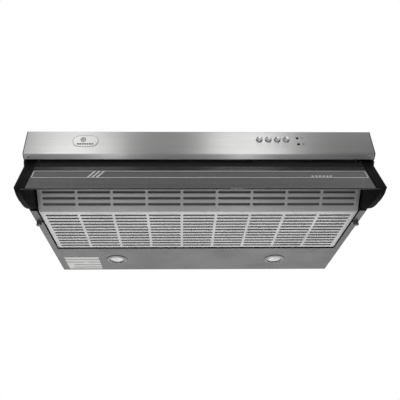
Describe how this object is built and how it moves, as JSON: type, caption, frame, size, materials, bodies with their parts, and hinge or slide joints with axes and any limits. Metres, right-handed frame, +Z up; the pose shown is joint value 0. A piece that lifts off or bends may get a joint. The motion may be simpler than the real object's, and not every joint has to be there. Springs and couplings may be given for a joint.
{
  "type": "under cabinet range hood",
  "caption": "Slimline under cabinet range hood with a brushed steel fascia, tilting smoked glass visor, drop-down slotted filter grille, push buttons, lamps and twin blowers.",
  "frame": {"origin": "centre of the flat top face that meets the underside of the cabinet", "axes": "+Z up, out of the top face; +X along the width, towards the buttons; +Y towards the wall"},
  "size_m": [0.9, 0.5479, 0.2397],
  "materials": {
    "stainless": "satin brushed",
    "galvanised": "satin",
    "silver_paint": "satin",
    "grey_paint": "satin",
    "black_plastic": "satin",
    "latch_plastic": "satin",
    "smoked_glass": "gloss",
    "frosted_lens": "satin",
    "dark_lens": "gloss",
    "chrome": "polished",
    "white_label": "matte",
    "filter_felt": "matte",
    "steel": "satin",
    "white_plastic": "matte",
    "aluminium": "satin",
    "motor_paint": "satin"
  },
  "bodies": {
    "hood": {"front_fascia": "stainless", "fascia_end_left": "black_plastic", "fascia_end_right": "black_plastic", "fascia_screw_left": "steel", "fascia_screw_right": "steel", "name_bar": "chrome", "top_panel": "galvanised", "side_panel_left": "grey_paint", "side_panel_right": "grey_paint", "rear_panel": "galvanised", "lamp_panel": "grey_paint", "rating_plate": "white_label", "switch_box": "white_plastic", "indicator_upper": "dark_lens", "indicator_lower": "dark_lens", "visor_pivot_left": "steel", "visor_pivot_right": "steel", "hinge_bracket_left": "galvanised", "hinge_bracket_right": "galvanised", "latch_screw_left": "steel", "latch_screw_right": "steel", "lamp_bezel_left": "chrome", "lamp_bezel_right": "chrome", "lamp_lens_left": "frosted_lens", "lamp_lens_right": "frosted_lens", "lamp_housing_left": "galvanised", "lamp_housing_right": "galvanised", "lamp_bulb_left": "frosted_lens", "lamp_bulb_right": "frosted_lens", "scroll_left": "galvanised", "scroll_right": "galvanised", "motor_left": "motor_paint", "motor_right": "motor_paint", "motor_bracket_left": "galvanised", "motor_bracket_right": "galvanised", "outlet_plenum": "galvanised", "duct_collar": "black_plastic", "damper_pin": "steel", "cable_gland": "black_plastic", "terminal_box": "white_plastic"},
    "visor": {"visor_glass": "smoked_glass", "visor_rail": "black_plastic", "visor_cheek_left": "black_plastic", "visor_cheek_right": "black_plastic"},
    "grille": {"filter_grille": "silver_paint", "filter_mat": "filter_felt", "grille_hinge_pin_left": "steel", "grille_hinge_pin_right": "steel"},
    "latch_left": {"grille_latch_left": "latch_plastic"},
    "latch_right": {"grille_latch_right": "latch_plastic"},
    "button_light": {"button_1": "chrome"},
    "button_low": {"button_2": "chrome"},
    "button_mid": {"button_3": "chrome"},
    "button_high": {"button_4": "chrome"},
    "rotor_left": {"impeller_left": "aluminium", "motor_shaft_left": "steel"},
    "rotor_right": {"impeller_right": "aluminium", "motor_shaft_right": "steel"},
    "damper_front": {"damper_flap_front": "aluminium"},
    "damper_rear": {"damper_flap_rear": "aluminium"}
  },
  "joints": [
    {"name": "visor_tilt", "type": "hinge", "parent": "hood", "child": "visor", "pos_m": [0, -0.223, -0.085], "axis": [1, 0, 0], "range_deg": [0, 70.5]},
    {"name": "grille_drop", "type": "hinge", "parent": "hood", "child": "grille", "pos_m": [0, 0.083, -0.163], "axis": [1, 0, 0], "range_deg": [0, 75]},
    {"name": "latch_left_turn", "type": "hinge", "parent": "hood", "child": "latch_left", "pos_m": [-0.442, -0.077, -0.168], "axis": [0, 0, 1], "range_deg": [0, 90]},
    {"name": "latch_right_turn", "type": "hinge", "parent": "hood", "child": "latch_right", "pos_m": [0.442, -0.077, -0.168], "axis": [0, 0, 1], "range_deg": [0, 90]},
    {"name": "button_light_press", "type": "slide", "parent": "hood", "child": "button_light", "axis": [0, 1, 0], "range_m": [0, 0.003], "stiffness_N_per_m": 300},
    {"name": "button_low_press", "type": "slide", "parent": "hood", "child": "button_low", "axis": [0, 1, 0], "range_m": [0, 0.003], "stiffness_N_per_m": 300},
    {"name": "button_mid_press", "type": "slide", "parent": "hood", "child": "button_mid", "axis": [0, 1, 0], "range_m": [0, 0.003], "stiffness_N_per_m": 300},
    {"name": "button_high_press", "type": "slide", "parent": "hood", "child": "button_high", "axis": [0, 1, 0], "range_m": [0, 0.003], "stiffness_N_per_m": 300},
    {"name": "impeller_left_spin", "type": "hinge", "parent": "hood", "child": "rotor_left", "pos_m": [-0.215, -0.01, -0.06], "axis": [0, 0, 1], "continuous": true},
    {"name": "impeller_right_spin", "type": "hinge", "parent": "hood", "child": "rotor_right", "pos_m": [0.215, -0.01, -0.06], "axis": [0, 0, 1], "continuous": true},
    {"name": "damper_front_lift", "type": "hinge", "parent": "hood", "child": "damper_front", "pos_m": [0, 0.12, 0.021], "axis": [-1, 0, 0], "range_deg": [0, 75]},
    {"name": "damper_rear_lift", "type": "hinge", "parent": "hood", "child": "damper_rear", "pos_m": [0, 0.12, 0.021], "axis": [1, 0, 0], "range_deg": [0, 75]}
  ]
}
